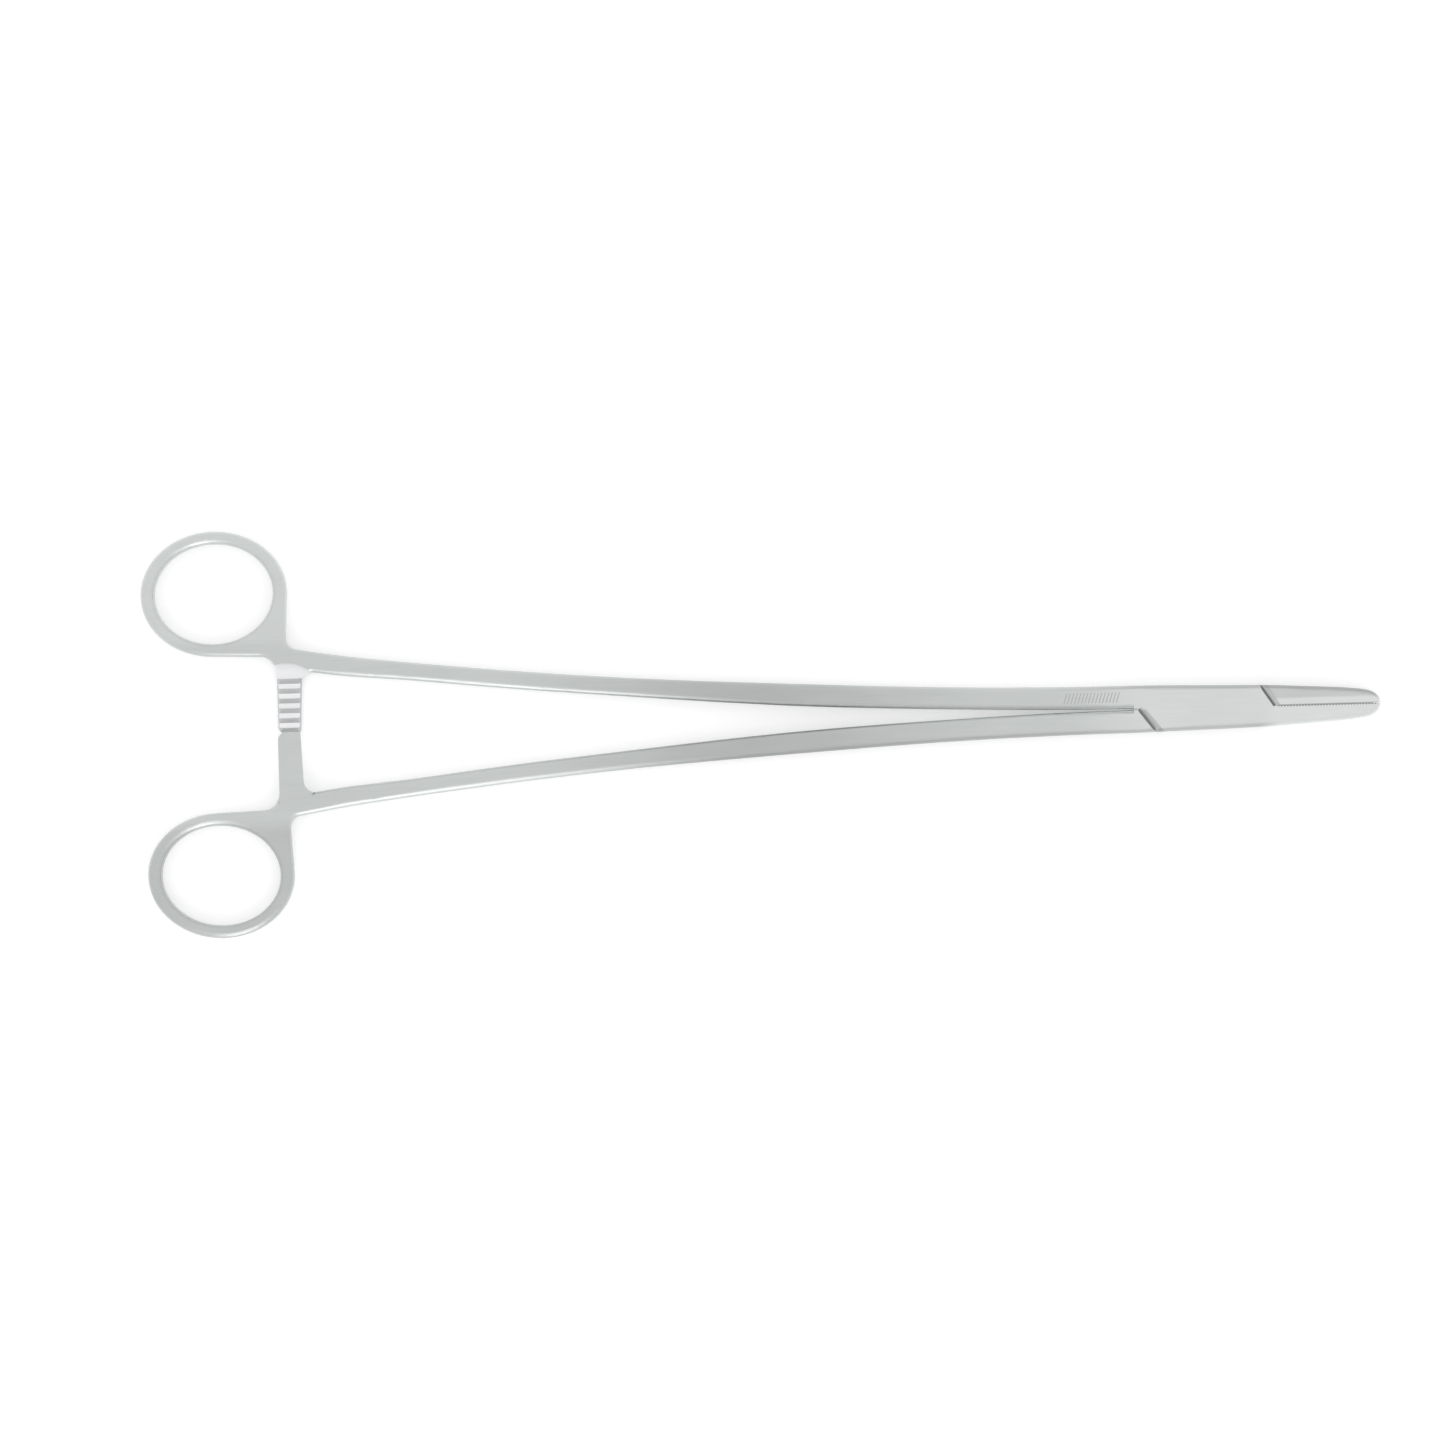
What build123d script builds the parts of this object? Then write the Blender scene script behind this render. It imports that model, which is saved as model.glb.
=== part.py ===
from build123d import *
import os
from math import acos, atan2, cos, hypot, radians, sin

os.makedirs("parts", exist_ok=True)

# The instrument lies flat and closed. X runs along it towards the jaws, Z is up from the surface it lies on,
# and the origin is on the axis of the lock pin. Sizes are in millimetres.

# Reach along the instrument, from the pin
tip_reach = 37.0
ring_reach = 228.0

# Thickness of the forging, from the lock to the shanks, the rings and the jaw tips
lock_thickness = 5.6
neck_thickness = 4.5
shank_thickness = 3.8
ring_thickness = 4.4
tip_thickness = 3.2

# Finger rings, and the neck where a ring meets its shank
finger_hole_length = 25.4
finger_hole_width = 21.35
ring_band_end = 2.95
ring_band_side = 2.72
ring_offset = 30.15
ring_tilt = 3.0
finger_hole_round = 1.3
neck_inset = 0.65
neck_rise = 3.72
neck_round = 2.6
heel_drop = 0.45

# Shanks
shank_lead = 8.5
shank_start_offset = 2.62
shank_below_ring = 15.67
shank_curve_power = 1.8
shank_width_lock = 4.9
shank_width_middle = 4.75
shank_width_slim = 3.85
shank_width_ring = 4.38
edge_round = 1.1

# Box lock
lock_width_pin = 9.5
lock_width_jaw_end = 9.0
shank_seam_inner_reach = 14.8
shank_seam_margin = 1.2
jaw_seam_inner_reach = 14.1
seam_outer_reach = 11.1
seam_gap = 0.15
seam_bevel_jaw_side = 0.75
seam_bevel_ring_side = 0.35
seam_groove_depth = 0.5
slot_height = 2.4
tongue_side_gap = 0.05
tongue_width = 8.0
tongue_angle = 9.6
tongue_edge_gap = 0.1
tongue_recess = 0.1
opening_angle = 40.0

# Lock pin
pin_diameter = 3.2
pin_running_gap = 0.03

# Jaws
jaw_nose_length = 4.5
jaw_nose_width = 6.3
jaw_middle_width = 7.9
serration_pitch = 0.65
serration_depth = 0.36
serration_seam_gap = 1.2
serration_tip_gap = 1.0
jaw_face_gap = 0.08
jaw_tip_slope = 0.12

# Ratchet bars, and the round recess at their roots
bar_inset = 2.65
bar_tip_width = 4.8
bar_root_width = 5.4
bar_crossing = 0.2
bar_tip_round_back = 1.7
bar_tip_round_front = 0.8
bar_bevel_width = 0.8
bar_bevel_depth = 1.1
bar_front_flare = 2.4
bar_heel_flare = 3.6
tooth_pitch = 2.1
tooth_count = 6
tooth_depth = 0.75
tooth_ramp = 1.0
tooth_face = 0.12
first_crest = 1.25
ratchet_gap = 0.1
recess_rise = 0.52
recess_round = 8.8
recess_inset = 0.9

# Places worked out from the sizes above
mid_height = lock_thickness / 2
ring_half_length = finger_hole_length / 2 + ring_band_end
ring_half_width = finger_hole_width / 2 + ring_band_side
ring_x = ring_half_length - ring_reach
ring_front = ring_x + ring_half_length
ring_bottom = ring_offset - ring_half_width
shank_start = shank_seam_inner_reach + shank_seam_margin
shank_end = -ring_front - shank_lead
shank_end_offset = ring_offset - shank_below_ring
lock_half_back = shank_start_offset + shank_width_lock / 2
nose_x = tip_reach - jaw_nose_length
serration_start = jaw_seam_inner_reach + serration_seam_gap
serration_end = tip_reach - serration_tip_gap
bar_back = ring_front - bar_inset
bar_tip = -bar_crossing
tooth_crest = mid_height - ratchet_gap / 2
tooth_valley = tooth_crest - tooth_depth
toothed_length = first_crest + (tooth_count - 1) * tooth_pitch + tooth_face
recess_peak = shank_end_offset + recess_rise
recess_x = ring_front - recess_inset
recess_y = recess_peak - recess_round
wide = 2 * ring_reach


def shank_centre(reach):
    """Distance from the instrument's axis to the middle of a shank."""
    share = (reach - shank_start) / (shank_end - shank_start)
    spread = shank_end_offset - shank_start_offset
    return shank_start_offset + spread * share**shank_curve_power


def shank_edge(side):
    """Points along an edge of the upper shank, from the lock to the ring: side is 1 outside, -1 inside."""
    widths = [
        (0.0, shank_width_lock),
        (0.25, shank_width_middle),
        (0.42, shank_width_middle),
        (0.63, shank_width_slim + 0.15),
        (0.81, shank_width_slim),
        (0.93, shank_width_slim + 0.1),
        (1.0, shank_width_ring),
    ]
    points = []
    for share, width in widths:
        reach = shank_start + share * (shank_end - shank_start)
        points.append((-reach, shank_centre(reach) + side * width / 2))
    return points


def ring_touch(corner, side):
    """Where a straight edge from a corner touches the outside of the ring: side is 1 in front, -1 below."""
    offset = (Vector(*corner) - Vector(ring_x, ring_offset)).rotate(Axis.Z, -ring_tilt)
    along, across = offset.X / ring_half_length, offset.Y / ring_half_width
    turn = atan2(across, along) + side * acos(1 / hypot(along, across))
    touch = Vector(ring_half_length * cos(turn), ring_half_width * sin(turn)).rotate(Axis.Z, ring_tilt)
    return (ring_x + touch.X, ring_offset + touch.Y)


def side_profile():
    """Block whose top and bottom follow the thickness of the forging from the rings to the jaw tips."""
    edges = []
    for sign in (1, -1):
        ring_level, shank_level, neck_level, lock_level, tip_level = [
            mid_height + sign * thickness / 2
            for thickness in (ring_thickness, shank_thickness, neck_thickness, lock_thickness, tip_thickness)
        ]
        shank = Spline(
            (shank_lead - shank_end, ring_level),
            (-(shank_end + shank_start) / 2, shank_level),
            (-3 * shank_start, neck_level),
            (-shank_start, lock_level),
            tangents=((1, 0), (1, 0)),
        )
        jaw = Spline(
            (serration_start, lock_level),
            (tip_reach, tip_level),
            tangents=((1, 0), (1, -jaw_tip_slope * sign)),
        )
        edges.append(Line((-ring_reach - 1, ring_level), shank @ 0))
        edges.append(shank)
        edges.append(Line(shank @ 1, jaw @ 0))
        edges.append(jaw)
        edges.append(Line(jaw @ 1, (tip_reach + 1, tip_level - jaw_tip_slope * sign)))
    edges.append(Line(edges[0] @ 0, edges[5] @ 0))
    edges.append(Line(edges[4] @ 1, edges[9] @ 1))
    return extrude(Plane.XZ * make_face(edges), amount=wide, both=True)


def forged_block(outline):
    """Upright block on an outline, with the thickness of the forging."""
    return extrude(outline, amount=lock_thickness) & side_profile()


def rim_edges(block, wanted):
    """Edges round the top and bottom of a block whose middles are wanted."""
    level = min(tip_thickness, shank_thickness) / 2 - 0.2
    found = []
    for edge in block.edges():
        on_rim = abs(edge.center().Z - mid_height) > level
        across = edge.bounding_box().size.X < 0.01
        if on_rim and not across and wanted(edge.center()):
            found.append(edge)
    return found


def corner_at(outline, x, y):
    """Corner of an outline nearest to a place."""
    return min(outline.vertices(), key=lambda corner: hypot(corner.X - x, corner.Y - y))


def in_finger_hole(point):
    """Whether a point lies on the edge of the finger hole, and not on the outside of the ring."""
    reach_x = (point.X - ring_x) / (ring_half_length - ring_band_end / 2)
    reach_y = (point.Y - ring_offset) / (ring_half_width - ring_band_side / 2)
    return reach_x**2 + reach_y**2 < 1


def shank_outline():
    """Outline of the upper shank, up to its ring: the neck in front of the ring, and the heel below it."""
    neck = (ring_front - neck_inset, shank_end_offset + neck_rise)
    root = (bar_back + bar_root_width / 2, shank_end_offset - 0.2 * shank_width_ring)
    heel = (bar_back, ring_bottom - heel_drop)
    outer, inner = shank_edge(1), shank_edge(-1)
    outside = Spline(*outer, tangents=((-1, 0), Vector(*neck) - Vector(*outer[-1])))
    inside = Spline(*inner, tangents=((-1, 0), Vector(*root) - Vector(*inner[-1])))
    front = Polyline(outside @ 1, neck, ring_touch(neck, 1), (ring_x, ring_offset))
    below = Polyline((ring_x, ring_offset), ring_touch(heel, -1), heel, root, inside @ 1)
    return make_face([outside, *front.edges(), *below.edges(), inside, Line(inside @ 0, outside @ 0)])


def bar_outline():
    """Outline of a ratchet bar from its rounded tip into the shank."""
    corners = [
        (bar_back, bar_tip),
        (bar_back + bar_tip_width, bar_tip),
        (bar_back + bar_root_width, shank_end_offset),
        (bar_back, ring_bottom - heel_drop),
    ]
    bar = Sketch() + make_face(Polyline(*corners, close=True))
    bar = fillet(corner_at(bar, *corners[0]), bar_tip_round_back)
    return fillet(corner_at(bar, *corners[1]), bar_tip_round_front)


def arm_outline():
    """Outline of the upper arm up to the lock: ring, shank and ratchet bar, with soft corners."""
    ring_place = Pos(ring_x, ring_offset) * Rot(0, 0, 180 + ring_tilt)
    ring = ring_place * Ellipse(ring_half_length, ring_half_width)
    hole = ring_place * Ellipse(finger_hole_length / 2, finger_hole_width / 2)
    outline = Sketch() + shank_outline() + ring + bar_outline() - hole
    outline = fillet(corner_at(outline, ring_front - neck_inset, shank_end_offset + neck_rise), neck_round)
    outline = fillet(corner_at(outline, bar_back, ring_bottom - heel_drop), bar_heel_flare)
    bar_front = bar_back + bar_root_width
    return fillet(corner_at(outline, bar_front, shank_end_offset - shank_width_ring / 2), bar_front_flare)


def bar_strip():
    """Strip in plan that holds the straight part of the ratchet bar."""
    return Pos(recess_x, recess_y) * Rectangle(2 * recess_round, wide, align=(Align.CENTER, Align.MAX))


def recess_outline():
    """Plan of the recess at the ratchet bar's root, with its round shoulder, and of the bar's strip."""
    return Pos(recess_x, recess_y) * Circle(recess_round) + bar_strip()


def tooth_profile():
    """Side view of a ratchet bar, Y across and Z up: each tooth ramps up from the tip and drops steeply."""
    base = mid_height - ring_thickness / 2
    points = [(bar_tip, base), (bar_tip, tooth_valley)]
    for tooth in range(tooth_count):
        crest_y = bar_tip + first_crest + tooth * tooth_pitch
        points.append((crest_y - tooth_ramp, tooth_valley))
        points.append((crest_y, tooth_crest))
        points.append((crest_y + tooth_face, tooth_valley))
    points.append((recess_peak + 1, tooth_valley))
    points.append((recess_peak + 1, base))
    return make_face(Polyline(*points, close=True))


def bar_bevel(foot, heading, side):
    """Material that bevels a long edge of the ratchet bar: side is 1 where the bar is left of it."""
    section = Polyline(
        (side * bar_bevel_width, tooth_crest),
        (-side * bar_bevel_width, tooth_crest),
        (-side * bar_bevel_width, tooth_crest - bar_bevel_depth),
        (0, tooth_crest - bar_bevel_depth),
        close=True,
    )
    place = Plane(foot, x_dir=Vector(0, 0, 1).cross(heading), z_dir=heading)
    return extrude(place * make_face(section), amount=toothed_length)


def ratchet_bar(outline):
    """Bar of the upper arm and its root, in the lower layer, with teeth facing up and bevelled edges."""
    teeth = extrude(Plane.YZ.offset(recess_x) * tooth_profile(), amount=wide, both=True)
    bar = extrude(outline & recess_outline(), amount=lock_thickness) & teeth
    taper = Vector(bar_root_width - bar_tip_width, shank_end_offset - bar_tip)
    bar -= bar_bevel((bar_back, bar_tip), Vector(0, 1), -1)
    return bar - bar_bevel((bar_back + bar_tip_width, bar_tip), taper, 1)


def arm():
    """Upper arm up to the lock: ring and shank with rounded edges, and the ratchet bar in its recess."""
    outline = arm_outline()
    block = forged_block(outline - bar_strip())
    block = fillet(rim_edges(block, in_finger_hole), finger_hole_round)
    block = fillet(rim_edges(block, lambda point: not in_finger_hole(point)), edge_round)
    return block - extrude(recess_outline(), amount=lock_thickness) + ratchet_bar(outline)


def seam_corners(end, side, shift=0.0):
    """Inner and outer corner of a lock seam: end is -1 at the shanks and 1 at the jaws."""
    half_width, inner_reach, inner_y = lock_width_jaw_end / 2, jaw_seam_inner_reach, -jaw_face_gap / 2
    if end < 0:
        share = seam_outer_reach / shank_start
        half_width = lock_width_pin / 2 * (1 - share) + lock_half_back * share
        inner_reach, inner_y = shank_seam_inner_reach, seam_gap / 2
    return (end * (inner_reach + shift), inner_y), (end * (seam_outer_reach + shift), side * half_width)


def jaw_edges(start, inner, phase):
    """Lower jaw: its outside from the start round the nose, and its gripping face with ridges across it."""
    level = -jaw_face_gap / 2
    outside = Spline(
        *start,
        ((seam_outer_reach + nose_x) / 2, -jaw_middle_width / 2),
        (nose_x, -jaw_nose_width / 2),
        (tip_reach - 0.27 * jaw_nose_length, -0.34 * jaw_nose_width),
        (tip_reach, level),
        tangents=((1, 0.03), (0, 1)),
    )
    step = serration_pitch / 2
    count = 2 * int((serration_end - serration_start) / serration_pitch)
    ridges = []
    for number in range(count):
        ridge_y = level + phase * (-1) ** number * serration_depth / 2
        ridges.append((serration_start + number * step, ridge_y))
    first = (serration_start - step / 2, level)
    last = (serration_start + (count - 0.5) * step, level)
    return [outside, Polyline(outside @ 1, last, *reversed(ridges), first, inner)]


def lock_foot(inner, upper):
    """Edges that close the outline of the lock where the shank meets it."""
    foot = (-shank_start, shank_start_offset - shank_width_lock / 2)
    return [Line(inner, foot), Line(foot, upper @ 0)]


def rounded_lock(edges):
    """Block of the lock or the jaws on an outline, with its outer edges rounded."""
    block = forged_block(make_face(edges))
    return fillet(rim_edges(block, lambda point: abs(point.Y) > 0.3 * lock_width_pin), edge_round)


def seam_groove(end, side):
    """V-shaped groove along a lock seam, on both faces of the lock, its wide bevel towards the jaws."""
    inner, outer = seam_corners(end, side, seam_gap / 2)
    start = Vector(*inner)
    heading = (Vector(*outer) - start) * -side
    grooves = []
    for face_z, inward in ((0, 1), (lock_thickness, -1)):
        section = Polyline(
            (-2 * seam_bevel_ring_side, -inward * seam_groove_depth),
            (0, inward * seam_groove_depth),
            (2 * seam_bevel_jaw_side, -inward * seam_groove_depth),
            close=True,
        )
        place = Plane((start.X, start.Y, face_z), x_dir=Vector(0, 0, 1).cross(heading), z_dir=heading)
        grooves.append(extrude(place * make_face(section), amount=-side * 2 * heading.length))
    return grooves


def slot():
    """Space inside the box in which the tongue swings, from closed to fully open."""
    space = Sketch() + Circle(shank_seam_inner_reach + tongue_edge_gap)
    corner = (tongue_width / 2 + tongue_edge_gap) / cos(radians(opening_angle / 2))
    for turn in (0, 180):
        tip = Vector(corner, 0).rotate(Axis.Z, tongue_angle + opening_angle / 2 + 90 + turn)
        closed = Vector(wide, 0).rotate(Axis.Z, tongue_angle + 180 + turn)
        opened = Vector(wide, 0).rotate(Axis.Z, tongue_angle + opening_angle + turn)
        space -= make_face(Polyline(tip, tip + closed, tip + closed + opened, tip + opened, close=True))
    return Pos(0, 0, mid_height - slot_height / 2) * extrude(space, amount=slot_height)


def box_half():
    """Half with the box: the upper arm, the two cheeks and walls round the slot, and the lower jaw."""
    top_inner, top_outer = seam_corners(1, 1)
    low_inner, low_outer = seam_corners(-1, -1)
    upper = Spline(
        (-shank_start, lock_half_back), (0, lock_width_pin / 2), top_outer, tangents=((1, 0), (1, -0.03))
    )
    jaw = jaw_edges([low_outer, (0, -lock_width_pin / 2), (seam_outer_reach, -top_outer[1])], top_inner, 1)
    seams = [Line(top_outer, top_inner), Line(low_outer, low_inner)]
    half = arm() + rounded_lock([upper, *jaw, *seams, *lock_foot(low_inner, upper)])
    half -= slot()
    half -= [*seam_groove(-1, -1), *seam_groove(1, 1)]
    return half - Cylinder(pin_diameter / 2, 3 * lock_thickness)


def tongue():
    """Thin tongue that joins the shank to the jaw beyond the lock, drawn with the shank above."""
    outline = Polyline(
        (-shank_start, lock_half_back - tongue_recess),
        (0, lock_width_pin / 2 - tongue_recess),
        (shank_start, lock_width_jaw_end / 2 - 3 * tongue_recess),
    )
    below = mirror(outline, Plane.XZ)
    ends = [Line(outline @ 0, below @ 0), Line(outline @ 1, below @ 1)]
    strip = Rot(0, 0, -tongue_angle) * Rectangle(wide, tongue_width)
    plan = make_face([outline, below, *ends]) & strip & Circle(shank_seam_inner_reach)
    height = slot_height - 2 * tongue_side_gap
    return Pos(0, 0, mid_height - height / 2) * extrude(plan, amount=height)


def tongue_half():
    """Half with the tongue: the lower arm, the tongue through the box, and the upper jaw."""
    shoulder_inner, shoulder_outer = seam_corners(-1, 1, seam_gap)
    jaw_inner, jaw_outer = seam_corners(1, -1, seam_gap)
    upper = Spline((-shank_start, lock_half_back), shoulder_outer, tangents=((1, 0), (1, -0.03)))
    shoulder_seam = Line(shoulder_outer, shoulder_inner)
    shoulder = rounded_lock([upper, shoulder_seam, *lock_foot(shoulder_inner, upper)])
    jaw = rounded_lock([*jaw_edges([jaw_outer], jaw_inner, -1), Line(jaw_inner, jaw_outer)])
    half = arm() + shoulder + jaw
    half -= [*seam_groove(-1, 1), *seam_groove(1, -1)]
    half += tongue()
    half -= Cylinder(pin_diameter / 2 + pin_running_gap, 3 * lock_thickness)
    return Pos(0, 0, mid_height) * Rot(180, 0, 0) * Pos(0, 0, -mid_height) * half


def lock_pin():
    """Cross pin of the lock, ground flush with both faces."""
    return Cylinder(pin_diameter / 2, lock_thickness, align=(Align.CENTER, Align.CENTER, Align.MIN))


for make_piece in (box_half, tongue_half, lock_pin):
    export_step(make_piece(), f"parts/{make_piece.__name__}.step")
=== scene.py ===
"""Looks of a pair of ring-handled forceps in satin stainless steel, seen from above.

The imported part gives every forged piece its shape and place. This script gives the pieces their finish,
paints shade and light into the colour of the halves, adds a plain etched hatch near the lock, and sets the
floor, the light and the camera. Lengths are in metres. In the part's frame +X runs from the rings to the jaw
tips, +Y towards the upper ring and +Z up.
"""

import logging
from dataclasses import dataclass
from enum import Enum
from math import radians
from typing import Union

import bpy
from mathutils import Euler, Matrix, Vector


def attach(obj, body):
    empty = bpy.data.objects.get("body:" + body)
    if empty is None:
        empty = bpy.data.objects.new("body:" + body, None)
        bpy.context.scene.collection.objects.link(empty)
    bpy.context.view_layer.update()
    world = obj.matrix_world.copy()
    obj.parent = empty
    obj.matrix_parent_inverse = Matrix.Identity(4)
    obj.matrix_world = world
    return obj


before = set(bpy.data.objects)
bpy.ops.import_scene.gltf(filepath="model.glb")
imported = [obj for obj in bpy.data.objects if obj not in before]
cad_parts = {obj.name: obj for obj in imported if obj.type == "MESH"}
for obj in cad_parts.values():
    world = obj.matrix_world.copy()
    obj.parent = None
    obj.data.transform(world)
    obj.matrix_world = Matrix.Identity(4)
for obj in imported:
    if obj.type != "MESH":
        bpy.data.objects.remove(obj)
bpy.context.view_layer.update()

MILLIMETRE = 0.001
DOWN = (0.0, 0.0, -1.0)
WHITE = (1.0, 1.0, 1.0, 1.0)

Colour = tuple[float, float, float, float]
Socket = bpy.types.NodeSocket
Value = Union[bpy.types.NodeSocket, float, tuple[float, ...]]

log = logging.getLogger("forceps")


@dataclass(frozen=True)
class Span:
    """Two values between which one look passes smoothly into the next."""

    start: float
    end: float

    @classmethod
    def mm(cls, start: float, end: float) -> "Span":
        """Make a span in metres from two lengths in millimetres."""
        return cls(start * MILLIMETRE, end * MILLIMETRE)


@dataclass(frozen=True)
class Pattern:
    """A noise pattern: its cells per metre along each axis, and the number of its finer layers."""

    scale: tuple[float, float, float]
    detail: float


class Grain(Enum):
    """Direction of the fine lines that finishing leaves on a face."""

    ALONG = Pattern((90.0, 3200.0, 3200.0), 3.0)
    ACROSS = Pattern((3200.0, 120.0, 3200.0), 3.0)


CLOUDS = Pattern((70.0, 260.0, 260.0), 2.0)
SPECKLES = Pattern((5200.0, 5200.0, 5200.0), 1.0)
NOISE_MIDDLE = 0.5


class ArmSide(Enum):
    """Side of the instrument's axis, as the sign of its places across."""

    UPPER = 1.0
    LOWER = -1.0


@dataclass(frozen=True)
class Seam:
    """Slanted line on the lock where the two halves meet.

    It leaves the axis at start, lies on one side of it, and runs towards the rings (upper side) or towards
    the jaws (lower side) by lean for each length across.
    """

    start: float
    lean: float
    side: ArmSide


SHANK_SEAM = Seam(-14.8 * MILLIMETRE, 0.79, ArmSide.LOWER)
JAW_SEAM = Seam(14.1 * MILLIMETRE, 0.64, ArmSide.UPPER)


@dataclass(frozen=True)
class Spot:
    """Sockets of a shaded point's place on its piece and of the direction that its surface faces."""

    place: Socket
    x: Socket
    y: Socket
    z: Socket
    facing_x: Socket
    facing_y: Socket
    facing_z: Socket


class NodeSheet:
    """A node tree that is filled one node at a time."""

    def __init__(self, tree: bpy.types.NodeTree) -> None:
        """Take a tree to fill, and empty it."""
        self.tree = tree
        self.tree.nodes.clear()

    def add(self, kind: str, **settings: object) -> bpy.types.Node:
        """Add a node.

        Args:
            kind: Blender's name of the node type.
            settings: Properties of the node, by name.

        Returns:
            The new node.
        """
        node = self.tree.nodes.new(kind)
        for name, value in settings.items():
            setattr(node, name, value)
        return node

    def feed(self, socket: Socket, value: Value) -> None:
        """Link an output to an input, or set the input to a plain value.

        Args:
            socket: The input to feed.
            value: An output socket, a number, a vector or a colour.
        """
        if isinstance(value, bpy.types.NodeSocket):
            self.tree.links.new(value, socket)
        elif socket.type == "VECTOR":
            socket.default_value = value[:3]
        else:
            socket.default_value = value

    def maths(self, operation: str, *values: Value) -> Socket:
        """Work out one number from others.

        Args:
            operation: Blender's name of the operation.
            values: Its inputs, in order.

        Returns:
            The result's socket.
        """
        node = self.add("ShaderNodeMath", operation=operation)
        for socket, value in zip(node.inputs, values):
            self.feed(socket, value)
        return node.outputs[0]

    def product(self, *values: Value) -> Socket:
        """Multiply several numbers.

        Args:
            values: The numbers or their sockets.

        Returns:
            The product's socket.
        """
        result = values[0]
        for value in values[1:]:
            result = self.maths("MULTIPLY", result, value)
        return result

    def distance(self, value: Value, middle: Value = 0.0) -> Socket:
        """Work out how far a number is from a middle, whichever side it is on."""
        return self.maths("ABSOLUTE", self.maths("SUBTRACT", value, middle))

    def fade(self, value: Value, span: Span, low: float, high: float) -> Socket:
        """Pass smoothly from one number to another over a span.

        Args:
            value: The number that drives the fade.
            span: Where the fade begins and ends.
            low: Result before the span.
            high: Result after the span.

        Returns:
            The result's socket.
        """
        node = self.add("ShaderNodeMapRange", interpolation_type="SMOOTHSTEP")
        self.feed(node.inputs["Value"], value)
        self.feed(node.inputs["From Min"], span.start)
        self.feed(node.inputs["From Max"], span.end)
        self.feed(node.inputs["To Min"], low)
        self.feed(node.inputs["To Max"], high)
        return node.outputs["Result"]

    def past(self, value: Value, span: Span) -> Socket:
        """Mark what lies past a span, with a share that goes from 0 to 1 over it."""
        return self.fade(value, span, 0.0, 1.0)

    def before(self, value: Value, span: Span) -> Socket:
        """Mark what lies before a span, with a share that goes from 1 to 0 over it."""
        return self.fade(value, span, 1.0, 0.0)

    def blend(self, share: Value, first: Value, second: Value) -> Socket:
        """Mix two colours.

        Args:
            share: How much of the second colour shows, from 0 to 1.
            first: Colour at 0.
            second: Colour at 1.

        Returns:
            The mixed colour's socket.
        """
        node = self.add("ShaderNodeMix", data_type="RGBA")
        colours = [socket for socket in node.inputs if socket.type == "RGBA"]
        self.feed(node.inputs[0], share)
        self.feed(colours[0], first)
        self.feed(colours[1], second)
        return next(socket for socket in node.outputs if socket.type == "RGBA")

    def scaled(self, colour: Value, factor: Value) -> Socket:
        """Multiply a colour by a number.

        Args:
            colour: The colour.
            factor: The number.

        Returns:
            The new colour's socket.
        """
        node = self.add("ShaderNodeVectorMath", operation="SCALE")
        self.feed(node.inputs[0], colour)
        self.feed(node.inputs["Scale"], factor)
        return node.outputs[0]

    def dim(self, colour: Value, share: Value, loss: float) -> Socket:
        """Darken a colour by the loss where the share is 1; a negative loss brightens it."""
        return self.scaled(colour, self.maths("SUBTRACT", 1.0, self.maths("MULTIPLY", share, loss)))

    def noise(self, place: Socket, pattern: Pattern) -> Socket:
        """Lay a noise pattern over a piece.

        Args:
            place: Coordinates of the pattern.
            pattern: Its scale and detail.

        Returns:
            The pattern's value, which varies about NOISE_MIDDLE.
        """
        mapping = self.add("ShaderNodeMapping")
        self.feed(mapping.inputs["Vector"], place)
        self.feed(mapping.inputs["Scale"], pattern.scale)
        texture = self.add("ShaderNodeTexNoise")
        self.feed(texture.inputs["Vector"], mapping.outputs["Vector"])
        self.feed(texture.inputs["Scale"], 1.0)
        self.feed(texture.inputs["Detail"], pattern.detail)
        return texture.outputs[0]

    def spot(self) -> Spot:
        """Read where the shaded point lies and which way its surface faces.

        Returns:
            The sockets of both.
        """
        source = self.add("ShaderNodeTexCoord")
        place = self.add("ShaderNodeSeparateXYZ")
        self.feed(place.inputs[0], source.outputs["Object"])
        facing = self.add("ShaderNodeSeparateXYZ")
        self.feed(facing.inputs[0], source.outputs["Normal"])
        return Spot(source.outputs["Object"], *place.outputs, *facing.outputs)


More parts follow.
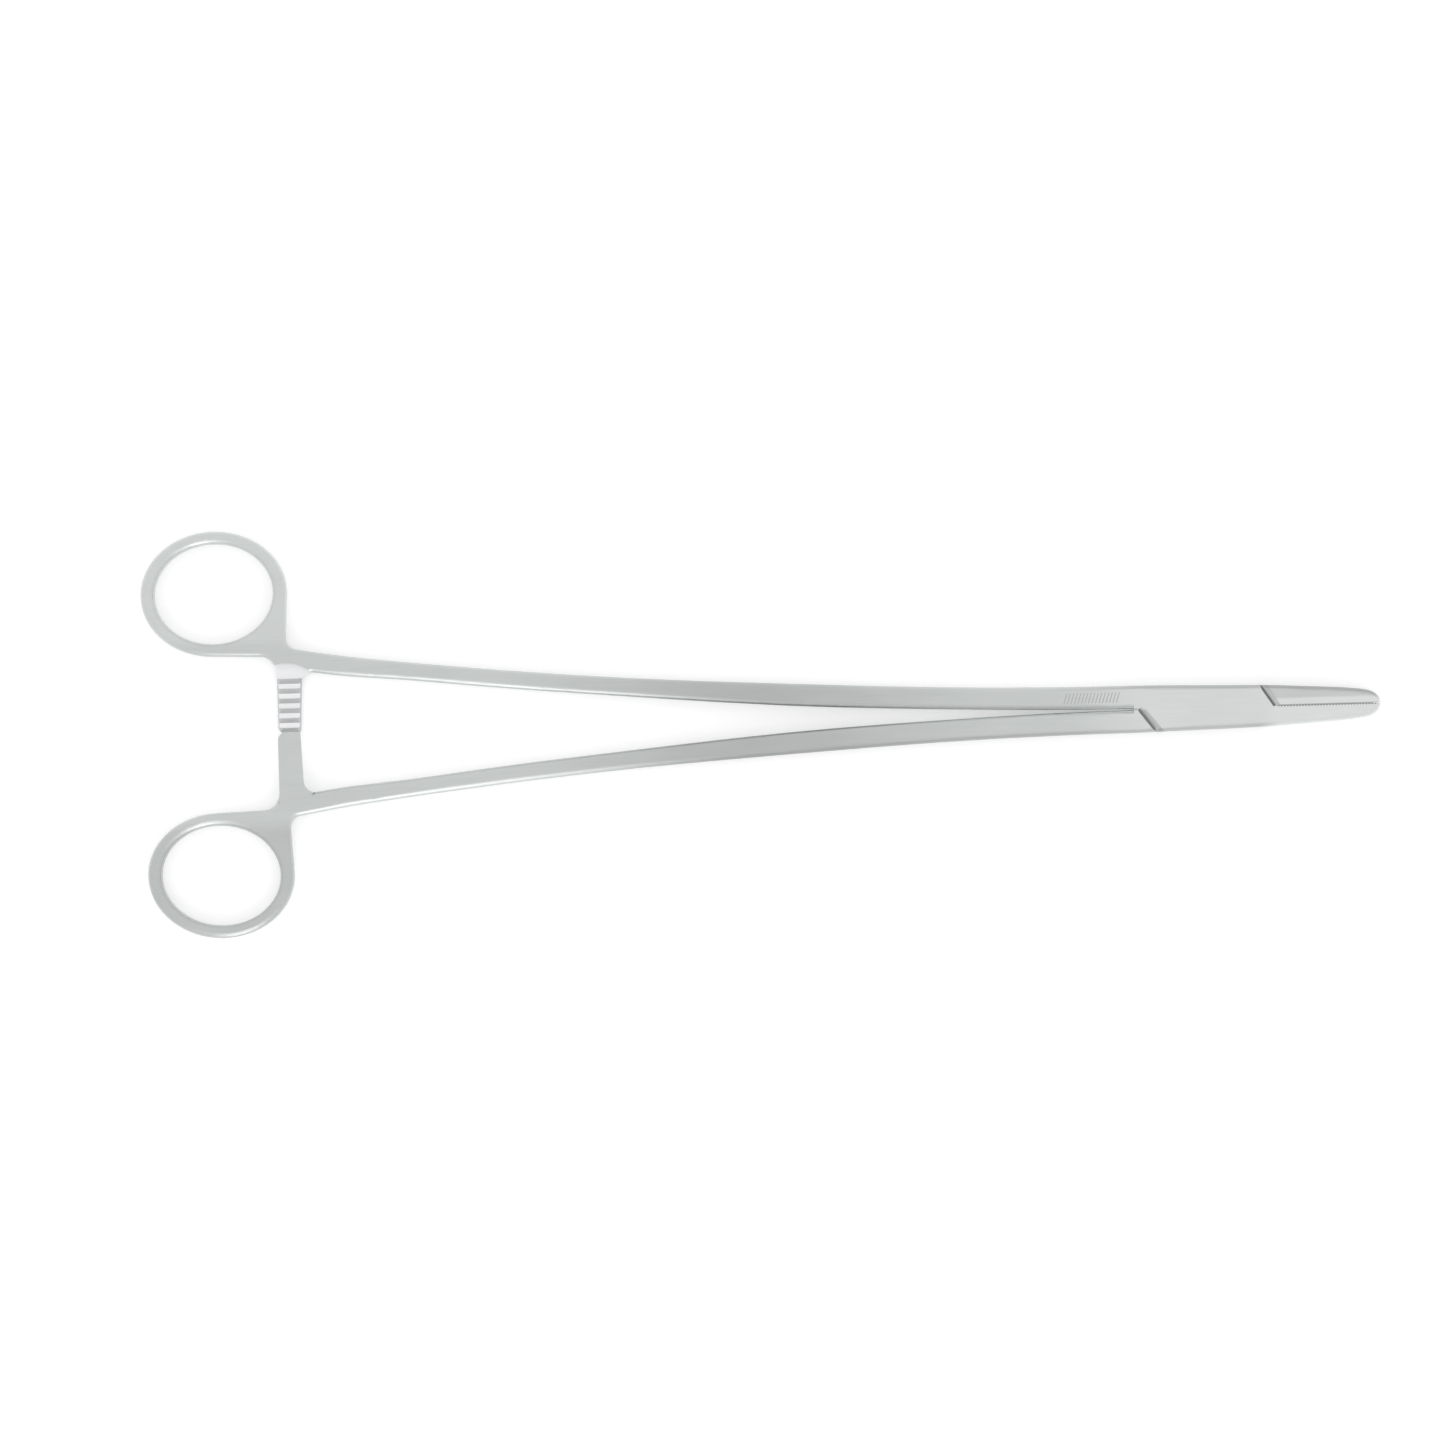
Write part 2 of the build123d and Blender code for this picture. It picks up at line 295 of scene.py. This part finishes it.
@dataclass(frozen=True)
class SteelFinish:
    """A satin steel surface with fine grinding lines, cloudy patches and a slight ripple."""

    name: str
    colour: Colour
    roughness: float
    grain: Grain = Grain.ALONG
    grain_share: float = 0.06
    grain_gloss: float = 0.16
    grain_depth: float = 0.006 * MILLIMETRE
    cloud_share: float = 0.05
    speckle_share: float = 0.4
    ripple: float = 0.35

    def material(self) -> bpy.types.Material:
        """Build the finish.

        Returns:
            The new material.
        """
        material = bpy.data.materials.new(self.name)
        material.use_nodes = True
        sheet = NodeSheet(material.node_tree)
        spot = sheet.spot()
        colour, roughness = self.regions(sheet, spot)
        self.surface(sheet, spot.place, colour, roughness)
        return material

    def regions(self, sheet: NodeSheet, spot: Spot) -> tuple[Value, Value]:
        """Give the colour and the roughness of the clean surface, the same all over."""
        return self.colour, self.roughness

    def surface(self, sheet: NodeSheet, place: Socket, colour: Value, roughness: Value) -> None:
        """Add the steel shader, with its grain and clouds, to a sheet.

        Args:
            sheet: The sheet to fill.
            place: Object coordinates.
            colour: Colour of the clean surface.
            roughness: Roughness of the clean surface.
        """
        grain = sheet.noise(place, self.grain.value)
        line = sheet.maths("SUBTRACT", grain, NOISE_MIDDLE)
        cloud = sheet.maths("SUBTRACT", sheet.noise(place, CLOUDS), NOISE_MIDDLE)
        shade = sheet.maths("MULTIPLY_ADD", line, 2 * self.grain_share, 1.0)
        shade = sheet.maths("MULTIPLY_ADD", cloud, 2 * self.cloud_share, shade)
        relief = sheet.maths("MULTIPLY_ADD", sheet.noise(place, SPECKLES), self.speckle_share, grain)
        bump = sheet.add("ShaderNodeBump")
        sheet.feed(bump.inputs["Strength"], self.ripple)
        sheet.feed(bump.inputs["Distance"], self.grain_depth)
        sheet.feed(bump.inputs["Height"], relief)
        steel = sheet.add("ShaderNodeBsdfPrincipled")
        sheet.feed(steel.inputs["Metallic"], 1.0)
        sheet.feed(steel.inputs["Base Color"], sheet.scaled(colour, shade))
        sheet.feed(steel.inputs["Roughness"], sheet.maths("MULTIPLY_ADD", line, self.grain_gloss, roughness))
        sheet.feed(steel.inputs["Normal"], bump.outputs["Normal"])
        output = sheet.add("ShaderNodeOutputMaterial")
        sheet.feed(output.inputs["Surface"], steel.outputs["BSDF"])


@dataclass(frozen=True)
class RatchetBar:
    """Where the milled faces of a ratchet bar lie, and their colours, with painted shade and light."""

    middle: float = -197.6 * MILLIMETRE
    edge: Span = Span.mm(8.8, 8.9)
    recess: Span = Span.mm(15.2, 15.3)
    parting_height: float = 2.8 * MILLIMETRE
    crest: Span = Span.mm(0.05, 0.15)
    base: Span = Span.mm(-1.4, -1.3)
    # Painted light on the flanks from this span towards the tip.
    flank_lightening: Span = Span.mm(-2.0, 8.0)
    side_slope: Span = Span(0.2, 0.5)
    flank_slope: Span = Span(0.3, 0.5)
    milled_colour: Colour = (0.86, 0.86, 0.88, 1.0)
    # Painted shade on the sides and steep flanks of the teeth, and painted light on the flanks near the tip.
    shaded_side_colour: Colour = (0.50, 0.51, 0.51, 1.0)
    painted_flank_colour: Colour = (0.60, 0.61, 0.61, 1.0)
    lightened_flank_colour: Colour = (0.74, 0.75, 0.75, 1.0)
    flank_roughness: float = 0.75

    def milled(self, sheet: NodeSheet, spot: Spot, side: float) -> Socket:
        """Mark the toothed layer of the bar, up to the recess at its root.

        Args:
            sheet: The sheet to fill.
            spot: The shaded point.
            side: Sign of the arm's side.

        Returns:
            Share of the milled finish, from 0 to 1.
        """
        height = sheet.product(sheet.maths("SUBTRACT", spot.z, self.parting_height), side)
        return sheet.product(
            sheet.before(sheet.distance(spot.x, self.middle), self.edge),
            sheet.before(sheet.product(spot.y, side), self.recess),
            sheet.before(height, self.crest),
            sheet.past(height, self.base),
        )

    def paint(self, sheet: NodeSheet, spot: Spot, side: float, colour: Value) -> tuple[Socket, Socket]:
        """Lay the milled colours over a half's colour, with painted shade on the bar's sides and steep flanks
        and painted light on the flanks near the tip.

        Args:
            sheet: The sheet to fill.
            spot: The shaded point.
            side: Sign of the arm's side.
            colour: Colour of the half so far.

        Returns:
            The new colour, and the share of the teeth's steep flanks.
        """
        milled = self.milled(sheet, spot, side)
        colour = sheet.blend(milled, colour, self.milled_colour)
        # Painted shade on the bar's sideways faces.
        sideways = sheet.past(sheet.distance(spot.facing_x), self.side_slope)
        colour = sheet.blend(sheet.product(milled, sideways), colour, self.shaded_side_colour)
        # Painted shade on the steep flanks, where the teeth shade their valleys.
        steep = sheet.past(sheet.product(spot.facing_y, -side), self.flank_slope)
        flank = sheet.product(milled, steep)
        # Painted light on the flanks near the tip, against the shade that the neighbouring teeth cast there.
        flank_lightening = sheet.before(sheet.product(spot.y, side), self.flank_lightening)
        painted_flank_colour = sheet.blend(flank_lightening, self.painted_flank_colour, self.lightened_flank_colour)
        return sheet.blend(flank, colour, painted_flank_colour), flank


@dataclass(frozen=True)
class JawRidges:
    """Where the ridges of the gripping faces break through the level faces of the jaws."""

    start: float = 15.3 * MILLIMETRE
    pitch: float = 0.65 * MILLIMETRE
    depth: float = 0.36 * MILLIMETRE
    width: Span = Span.mm(0.05, 0.26)
    seam: Span = Span.mm(14.65, 15.3)
    tip: Span = Span.mm(36.0, 36.65)
    level_slope: Span = Span(0.2, 0.5)
    crest_share: float = 0.3
    loss: float = 0.85

    def shadow(self, sheet: NodeSheet, spot: Spot) -> Socket:
        """Paint a shadow along the broken edges of the gripping faces, but not on those faces themselves.

        Args:
            sheet: The sheet to fill.
            spot: The shaded point.

        Returns:
            Share of the shadow, from 0 to 1.
        """
        half_pitch = self.pitch / 2
        turn = sheet.maths("PINGPONG", sheet.maths("SUBTRACT", spot.x, self.start), half_pitch)
        zigzag = sheet.maths("MULTIPLY_ADD", turn, -self.depth / half_pitch, self.depth / 2)
        return sheet.product(
            sheet.before(sheet.distance(spot.y, zigzag), self.width),
            sheet.past(spot.x, self.seam),
            sheet.before(spot.x, self.tip),
            sheet.past(sheet.distance(spot.facing_z), self.level_slope),
            sheet.fade(turn, Span(0.0, half_pitch), self.crest_share, 1.0),
        )


@dataclass(frozen=True)
class ForgedHalfFinish(SteelFinish):
    """Finish of one half: satin shank and ring, ground lock, bright jaw and milled ratchet.

    The spans are places along the instrument or across it, or parts of the surface's direction. A loss is the
    part of the light that a region loses, and a negative one brightens it. Besides the finish, the colour
    holds
    painted shade and painted light: amid the shank, on the rings, the rounded edges, the seams, the upper jaw,
    the jaw line and the ratchet bar.
    """

    side: ArmSide = ArmSide.UPPER
    lock_colour: Colour = (0.66, 0.68, 0.67, 1.0)
    jaw_colour: Colour = (0.70, 0.72, 0.71, 1.0)
    bar: RatchetBar = RatchetBar()
    ridges: JawRidges = JawRidges()
    lock: Span = Span.mm(-34.0, -12.0)
    box: Span = Span.mm(16.0, 16.36)
    jaw: Span = Span.mm(10.0, 16.0)
    jaw_face: Span = Span.mm(15.0, 15.65)
    jaw_flat: Span = Span.mm(1.2, 1.9)
    # Painted shade on the upper jaw.
    upper_jaw_shade: float = 0.19
    # Painted shade amid the shank.
    shank_middle: float = -98.0 * MILLIMETRE
    shank_middle_reach: float = 56.0 * MILLIMETRE
    mid_shank_shade: float = 0.2
    # Painted shade on the ring, or painted light where ring_shade is negative.
    ring: Span = Span.mm(18.0, 21.6)
    ring_shade: float = 0.1
    # Painted shade on the rounded edges, and painted light on those inside the narrow gap between the shanks.
    shaded_shank: Span = Span.mm(-134.0, -98.0)
    edge_slope: Span = Span(0.1, 0.6)
    lower_edge_shade: float = 0.27
    upper_edge_shade: float = 0.32
    gap_end: Span = Span.mm(-16.0, -14.0)
    gap_width: Span = Span.mm(0.9, 2.6)
    gap_slope: Span = Span(0.6, 0.9)
    gap_light: float = -0.45
    # Painted shade on the seams' bevels and on a band beside each seam.
    bevel_slope: Span = Span(0.25, 0.42)
    bevel_shade: float = 0.08
    seam_width: float = 1.3 * MILLIMETRE
    seam_soft: float = 0.15 * MILLIMETRE
    seam_shade: float = 0.26

    def regions(self, sheet: NodeSheet, spot: Spot) -> tuple[Value, Value]:
        """Give the colour, painted shade and light included, and the roughness, region by region.

        Args:
            sheet: The sheet to fill.
            spot: The shaded point.

        Returns:
            The colour and the roughness.
        """
        side = self.side.value
        colour = self.flat_colour(sheet, spot)
        colour = self.edge_shade_and_light(sheet, spot, colour)
        colour = self.seam_shade_bands(sheet, spot, colour)
        colour = self.upper_jaw(sheet, spot, colour)
        # Painted shadow along the jaw line.
        colour = sheet.dim(colour, self.ridges.shadow(sheet, spot), self.ridges.loss)
        colour, flank = self.bar.paint(sheet, spot, side, colour)
        rougher = self.bar.flank_roughness - self.roughness
        return colour, sheet.maths("MULTIPLY_ADD", flank, rougher, self.roughness)

    def flat_colour(self, sheet: NodeSheet, spot: Spot) -> Socket:
        """Colour the level faces: painted shade amid the shank, lighter from the lock on, and the ring by
        itself.

        Args:
            sheet: The sheet to fill.
            spot: The shaded point.

        Returns:
            The colour.
        """
        colour = sheet.blend(sheet.past(spot.x, self.lock), self.colour, self.lock_colour)
        colour = sheet.blend(sheet.past(spot.x, self.jaw), colour, self.jaw_colour)
        # Painted shade: the middle of the shank is darkened, as its reflections are dimmer there.
        off_middle = sheet.distance(spot.x, self.shank_middle)
        amid_shank_shade = sheet.before(off_middle, Span(0.0, self.shank_middle_reach))
        colour = sheet.dim(colour, amid_shank_shade, self.mid_shank_shade)
        # Painted shade on the ring past the ring span; a negative ring_shade paints light instead.
        across = sheet.product(spot.y, self.side.value)
        return sheet.dim(colour, sheet.past(across, self.ring), self.ring_shade)

    def edge_shade_and_light(self, sheet: NodeSheet, spot: Spot, colour: Value) -> Socket:
        """Paint shade on the rounded edges of the shank and the lock, and paint light on those inside the
        narrow gap.

        Args:
            sheet: The sheet to fill.
            spot: The shaded point.
            colour: Colour so far.

        Returns:
            The new colour.
        """
        # Painted light on the rounded edges that face into the narrow gap near the lock.
        in_gap = sheet.product(
            sheet.past(sheet.product(spot.facing_y, -self.side.value), self.gap_slope),
            sheet.before(sheet.distance(spot.y), self.gap_width),
            sheet.before(spot.x, self.gap_end),
        )
        off_gap = sheet.maths("SUBTRACT", 1.0, in_gap)
        # Painted shade on the rounded edges that face -Y, from the middle of the shank to the jaw, and on
        # those facing +Y from the lock on.
        lower_edge = sheet.product(
            sheet.past(sheet.product(spot.facing_y, -1.0), self.edge_slope),
            sheet.past(spot.x, self.shaded_shank),
            sheet.before(spot.x, self.jaw),
            off_gap,
        )
        upper_edge = sheet.product(
            sheet.past(spot.facing_y, self.edge_slope),
            sheet.past(spot.x, self.lock),
            off_gap,
        )
        colour = sheet.dim(colour, lower_edge, self.lower_edge_shade)
        colour = sheet.dim(colour, in_gap, self.gap_light)
        return sheet.dim(colour, upper_edge, self.upper_edge_shade)

    def seam_shade_bands(self, sheet: NodeSheet, spot: Spot, colour: Value) -> Socket:
        """Paint shade on the wide bevels of the seams and on the band beside each, on the jaws' side.

        Args:
            sheet: The sheet to fill.
            spot: The shaded point.
            colour: Colour so far.

        Returns:
            The new colour.
        """
        # Painted shade on the lock's faces that face back towards the rings.
        in_box = sheet.before(sheet.distance(spot.x), self.box)
        backward = sheet.past(sheet.product(spot.facing_x, -1.0), self.bevel_slope)
        colour = sheet.dim(colour, sheet.product(backward, in_box), self.bevel_shade)
        # Painted shade on a band beside each seam, which makes the bevel look wider.
        shares = []
        for seam in (SHANK_SEAM, JAW_SEAM):
            along = sheet.maths("MULTIPLY_ADD", spot.y, seam.lean, spot.x)
            end = seam.start + self.seam_width
            shares.append(sheet.product(
                sheet.past(along, Span(seam.start - self.seam_soft, seam.start)),
                sheet.before(along, Span(end, end + self.seam_soft)),
                sheet.past(sheet.product(spot.y, seam.side.value), Span(0.0, self.seam_soft)),
            ))
        return sheet.dim(colour, sheet.maths("ADD", *shares), self.seam_shade)

    def upper_jaw(self, sheet: NodeSheet, spot: Spot, colour: Value) -> Socket:
        """Paint shade on the upper jaw past its seam, but not on the strip beside the ridges.

        Args:
            sheet: The sheet to fill.
            spot: The shaded point.
            colour: Colour so far.

        Returns:
            The new colour.
        """
        along = sheet.maths("MULTIPLY_ADD", spot.y, JAW_SEAM.lean, spot.x)
        share = sheet.product(sheet.past(spot.y, self.jaw_flat), sheet.past(along, self.jaw_face))
        return sheet.dim(colour, share, self.upper_jaw_shade)


@dataclass
class SteelPiece:
    """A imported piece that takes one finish."""

    node: str
    finish: SteelFinish

    def dress(self) -> None:
        """Give the piece its finish."""
        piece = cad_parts[self.node]
        piece.data.materials.clear()
        piece.data.materials.append(self.finish.material())
        log.info("dressed %s: %d faces", self.node, len(piece.data.polygons))


@dataclass
class ForgedHalf(SteelPiece):
    """One forged half: finger ring, ratchet bar, shank, its part of the lock, and a jaw."""

    finish: ForgedHalfFinish


@dataclass
class LockPin(SteelPiece):
    """Cross pin of the box lock, ground flush with both cheeks."""


@dataclass
class EtchedHatch:
    """Faint slanted strokes, all alike, on the flat of the upper shank next to the lock."""

    target: str
    finish: SteelFinish
    start: Vector
    count: int = 16
    spacing: float = 0.75 * MILLIMETRE
    stroke: Vector = Vector((0.2, 2.3, 0.012)) * MILLIMETRE
    slant: float = radians(-18.0)
    reach: float = 20.0 * MILLIMETRE

    def build(self) -> bpy.types.Object:
        """Lay the strokes on the shank.

        Returns:
            The strokes as one mesh that moves with the upper half.
        """
        mesh = bpy.data.meshes.new("hatch_seed")
        seed = bpy.data.objects.new("hatch_seed", mesh)
        bpy.context.scene.collection.objects.link(seed)
        self.set_up(seed.modifiers.new("hatch", "NODES"))
        seed.update_tag()
        bpy.context.view_layer.update()
        graph = bpy.context.evaluated_depsgraph_get()
        plain = bpy.data.meshes.new_from_object(seed.evaluated_get(graph))
        seed.modifiers.clear()
        bpy.data.objects.remove(seed)
        bpy.data.meshes.remove(mesh)
        plain.name = "etched_hatch"
        hatch = bpy.data.objects.new("etched_hatch", plain)
        bpy.context.scene.collection.objects.link(hatch)
        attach(hatch, "box_side")
        log.info("built etched_hatch: %d strokes, %d faces", self.count, len(plain.polygons))
        return hatch

    def set_up(self, modifier: bpy.types.NodesModifier) -> None:
        """Give the modifier its node group and its inputs.

        Args:
            modifier: The modifier that runs the group.
        """
        values = {
            "Surface": ("NodeSocketObject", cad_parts[self.target]),
            "Count": ("NodeSocketInt", self.count),
            "Spacing": ("NodeSocketFloat", self.spacing),
            "Start": ("NodeSocketVector", tuple(self.start)),
            "Stroke": ("NodeSocketVector", tuple(self.stroke)),
            "Slant": ("NodeSocketFloat", self.slant),
            "Reach": ("NodeSocketFloat", self.reach),
            "Material": ("NodeSocketMaterial", self.finish.material()),
        }
        tree = bpy.data.node_groups.new("hatch_on_surface", "GeometryNodeTree")
        for name, (kind, _) in values.items():
            tree.interface.new_socket(name=name, in_out="INPUT", socket_type=kind)
        tree.interface.new_socket(name="Geometry", in_out="OUTPUT", socket_type="NodeSocketGeometry")
        sheet = NodeSheet(tree)
        given = sheet.add("NodeGroupInput").outputs
        landed = self.landed_strokes(sheet, given, self.row_of_strokes(sheet, given))
        painted = sheet.add("GeometryNodeSetMaterial")
        sheet.feed(painted.inputs["Geometry"], landed)
        sheet.feed(painted.inputs["Material"], given["Material"])
        sheet.feed(sheet.add("NodeGroupOutput").inputs[0], painted.outputs[0])
        modifier.node_group = tree
        for item in tree.interface.items_tree:
            if item.in_out == "INPUT":
                modifier[item.identifier] = values[item.name][1]

    def row_of_strokes(self, sheet: NodeSheet, given: bpy.types.NodeOutputs) -> Socket:
        """Repeat the slanted stroke along a row at the level of the floor.

        Args:
            sheet: The sheet to fill.
            given: The group's inputs.

        Returns:
            The strokes' geometry.
        """
        step = sheet.add("ShaderNodeCombineXYZ")
        sheet.feed(step.inputs["X"], given["Spacing"])
        row = sheet.add("GeometryNodeMeshLine", mode="OFFSET")
        sheet.feed(row.inputs["Count"], given["Count"])
        sheet.feed(row.inputs["Start Location"], given["Start"])
        sheet.feed(row.inputs["Offset"], step.outputs[0])
        stroke = sheet.add("GeometryNodeMeshCube")
        sheet.feed(stroke.inputs["Size"], given["Stroke"])
        turn = sheet.add("ShaderNodeCombineXYZ")
        sheet.feed(turn.inputs["Z"], given["Slant"])
        copies = sheet.add("GeometryNodeInstanceOnPoints")
        sheet.feed(copies.inputs["Points"], row.outputs["Mesh"])
        sheet.feed(copies.inputs["Instance"], stroke.outputs["Mesh"])
        sheet.feed(copies.inputs["Rotation"], turn.outputs[0])
        real = sheet.add("GeometryNodeRealizeInstances")
        sheet.feed(real.inputs[0], copies.outputs["Instances"])
        return real.outputs[0]

    def landed_strokes(self, sheet: NodeSheet, given: bpy.types.NodeOutputs, strokes: Socket) -> Socket:
        """Drop every corner of the strokes on the surface below, and keep its own height above it.

        Args:
            sheet: The sheet to fill.
            given: The group's inputs.
            strokes: The strokes' geometry.

        Returns:
            The geometry on the surface.
        """
        surface = sheet.add("GeometryNodeObjectInfo", transform_space="RELATIVE")
        sheet.feed(surface.inputs["Object"], given["Surface"])
        own = sheet.add("ShaderNodeSeparateXYZ")
        sheet.feed(own.inputs[0], sheet.add("GeometryNodeInputPosition").outputs[0])
        above = sheet.add("ShaderNodeCombineXYZ")
        sheet.feed(above.inputs["X"], own.outputs["X"])
        sheet.feed(above.inputs["Y"], own.outputs["Y"])
        sheet.feed(above.inputs["Z"], given["Reach"])
        ray = sheet.add("GeometryNodeRaycast")
        sheet.feed(ray.inputs["Target Geometry"], surface.outputs["Geometry"])
        sheet.feed(ray.inputs["Source Position"], above.outputs[0])
        sheet.feed(ray.inputs["Ray Direction"], DOWN)
        sheet.feed(ray.inputs["Ray Length"], given["Reach"])
        lift = sheet.add("ShaderNodeCombineXYZ")
        sheet.feed(lift.inputs["Z"], own.outputs["Z"])
        landed = sheet.add("ShaderNodeVectorMath", operation="ADD")
        sheet.feed(landed.inputs[0], ray.outputs["Hit Position"])
        sheet.feed(landed.inputs[1], lift.outputs[0])
        placed = sheet.add("GeometryNodeSetPosition")
        sheet.feed(placed.inputs["Geometry"], strokes)
        sheet.feed(placed.inputs["Position"], landed.outputs[0])
        return placed.outputs[0]


@dataclass(frozen=True)
class Lamp:
    """A wide lamp that faces the instrument's axis."""

    name: str
    place: tuple[float, float, float]
    size: tuple[float, float]
    watts: float

    def hang(self) -> None:
        """Hang the lamp, unseen by the camera."""
        data = bpy.data.lights.new(self.name, "AREA")
        data.shape = "RECTANGLE"
        data.size, data.size_y = self.size
        data.energy = self.watts
        lamp = bpy.data.objects.new(self.name, data)
        lamp.location = self.place
        to_axis = Vector((self.place[0], 0.0, 0.0)) - Vector(self.place)
        lamp.rotation_euler = to_axis.to_track_quat("-Z", "Y").to_euler()
        lamp.visible_camera = False
        bpy.context.scene.collection.objects.link(lamp)


@dataclass
class Studio:
    """White floor, soft light and a camera that looks straight down."""

    middle: Vector
    lamp: Lamp
    frame_width: float = 309.8 * MILLIMETRE
    camera_height: float = 1.6
    camera_roll: float = radians(-1.6)
    camera_clip: float = 0.01
    sensor: float = 36.0
    floor_size: float = 6.0
    floor_level: float = -0.02 * MILLIMETRE
    floor_shade: float = 0.82
    floor_lift: float = 0.34
    room: Span = Span(-0.9, 0.9)
    room_front: float = 0.97
    room_back: float = 1.02

    def build(self) -> None:
        """Set the floor, the light and the camera."""
        self.lay_floor()
        self.light_room()
        self.lamp.hang()
        self.place_camera()
        log.info("studio is set")

    def lay_floor(self) -> None:
        """Lay a floor that shows white and keeps the instrument's shadow."""
        half = self.floor_size / 2
        corners = [(x * half, y * half, self.floor_level) for x, y in ((-1, -1), (1, -1), (1, 1), (-1, 1))]
        mesh = bpy.data.meshes.new("floor")
        mesh.from_pydata(corners, [], [(0, 1, 2, 3)])
        mesh.materials.append(self.floor_material())
        floor = bpy.data.objects.new("floor", mesh)
        bpy.context.scene.collection.objects.link(floor)

    def floor_material(self) -> bpy.types.Material:
        """Build a matt floor that is lifted to white where it is seen, straight or in the steel.

        Returns:
            The new material.
        """
        material = bpy.data.materials.new("white_floor")
        material.use_nodes = True
        sheet = NodeSheet(material.node_tree)
        matt = sheet.add("ShaderNodeBsdfDiffuse")
        sheet.feed(matt.inputs["Color"], (self.floor_shade, self.floor_shade, self.floor_shade, 1.0))
        ray = sheet.add("ShaderNodeLightPath")
        seen = sheet.maths("MAXIMUM", ray.outputs["Is Camera Ray"], ray.outputs["Is Glossy Ray"])
        seen = sheet.maths("MAXIMUM", seen, ray.outputs["Is Transmission Ray"])
        glow = sheet.add("ShaderNodeEmission")
        sheet.feed(glow.inputs["Strength"], sheet.product(seen, self.floor_lift))
        both = sheet.add("ShaderNodeAddShader")
        sheet.feed(both.inputs[0], matt.outputs[0])
        sheet.feed(both.inputs[1], glow.outputs[0])
        output = sheet.add("ShaderNodeOutputMaterial")
        sheet.feed(output.inputs["Surface"], both.outputs[0])
        return material

    def light_room(self) -> None:
        """Light the instrument from a pale room that is a little brighter behind the upper ring."""
        world = bpy.data.worlds.new("pale_room")
        bpy.context.scene.world = world
        world.use_nodes = True
        sheet = NodeSheet(world.node_tree)
        axes = sheet.add("ShaderNodeSeparateXYZ")
        sheet.feed(axes.inputs[0], sheet.add("ShaderNodeTexCoord").outputs["Generated"])
        room = sheet.add("ShaderNodeBackground")
        sheet.feed(room.inputs["Color"], WHITE)
        level = sheet.fade(axes.outputs["Y"], self.room, self.room_front, self.room_back)
        sheet.feed(room.inputs["Strength"], level)
        output = sheet.add("ShaderNodeOutputWorld")
        sheet.feed(output.inputs["Surface"], room.outputs[0])

    def place_camera(self) -> None:
        """Hang the camera over the middle of the picture, level with the floor and slightly rolled."""
        data = bpy.data.cameras.new("camera")
        data.sensor_width = self.sensor
        data.lens = self.sensor * self.camera_height / self.frame_width
        data.clip_start = self.camera_clip
        camera = bpy.data.objects.new("camera", data)
        camera.location = self.middle + Vector((0.0, 0.0, self.camera_height))
        camera.rotation_euler = Euler((0.0, 0.0, self.camera_roll))
        bpy.context.scene.collection.objects.link(camera)
        bpy.context.scene.camera = camera


SATIN_COLOUR = (0.56, 0.58, 0.57, 1.0)
GROUND_COLOUR = (0.66, 0.68, 0.67, 1.0)
ETCHED_COLOUR = (0.43, 0.44, 0.43, 1.0)
SATIN_ROUGHNESS = 0.34
ETCHED_ROUGHNESS = 0.5
# Painted light on the upper ring and painted shade on the lower ring.
UPPER_RING_SHADE = -0.08
LOWER_RING_SHADE = 0.1
HATCH_START = Vector((-30.6, 2.65, 0.0)) * MILLIMETRE
PICTURE_MIDDLE = Vector((-104.1, -0.35, 2.8)) * MILLIMETRE
RING_LAMP = Lamp("ring_lamp", place=(-0.175, -0.26, 0.14), size=(0.10, 0.26), watts=0.12)


def satin_half(node: str, name: str, side: ArmSide, ring_shade: float) -> ForgedHalf:
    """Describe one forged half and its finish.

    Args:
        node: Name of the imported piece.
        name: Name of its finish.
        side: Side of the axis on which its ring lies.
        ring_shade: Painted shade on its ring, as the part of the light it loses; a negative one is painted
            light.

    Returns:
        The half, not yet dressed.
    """
    finish = ForgedHalfFinish(name, SATIN_COLOUR, SATIN_ROUGHNESS, side=side, ring_shade=ring_shade)
    return ForgedHalf(node, finish)


def main() -> None:
    """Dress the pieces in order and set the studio."""
    logging.basicConfig(level=logging.INFO, format="%(name)s: %(message)s")
    bpy.context.scene.view_settings.view_transform = "Standard"
    pieces = (
        satin_half("box_half", "satin_upper_half", ArmSide.UPPER, UPPER_RING_SHADE),
        satin_half("tongue_half", "satin_lower_half", ArmSide.LOWER, LOWER_RING_SHADE),
        LockPin("lock_pin", SteelFinish("ground_pin", GROUND_COLOUR, SATIN_ROUGHNESS)),
    )
    for piece in pieces:
        piece.dress()
    etched = SteelFinish("etched_steel", ETCHED_COLOUR, ETCHED_ROUGHNESS, grain=Grain.ACROSS)
    EtchedHatch("box_half", etched, HATCH_START).build()
    Studio(PICTURE_MIDDLE, RING_LAMP).build()


if __name__ == "__main__":
    main()
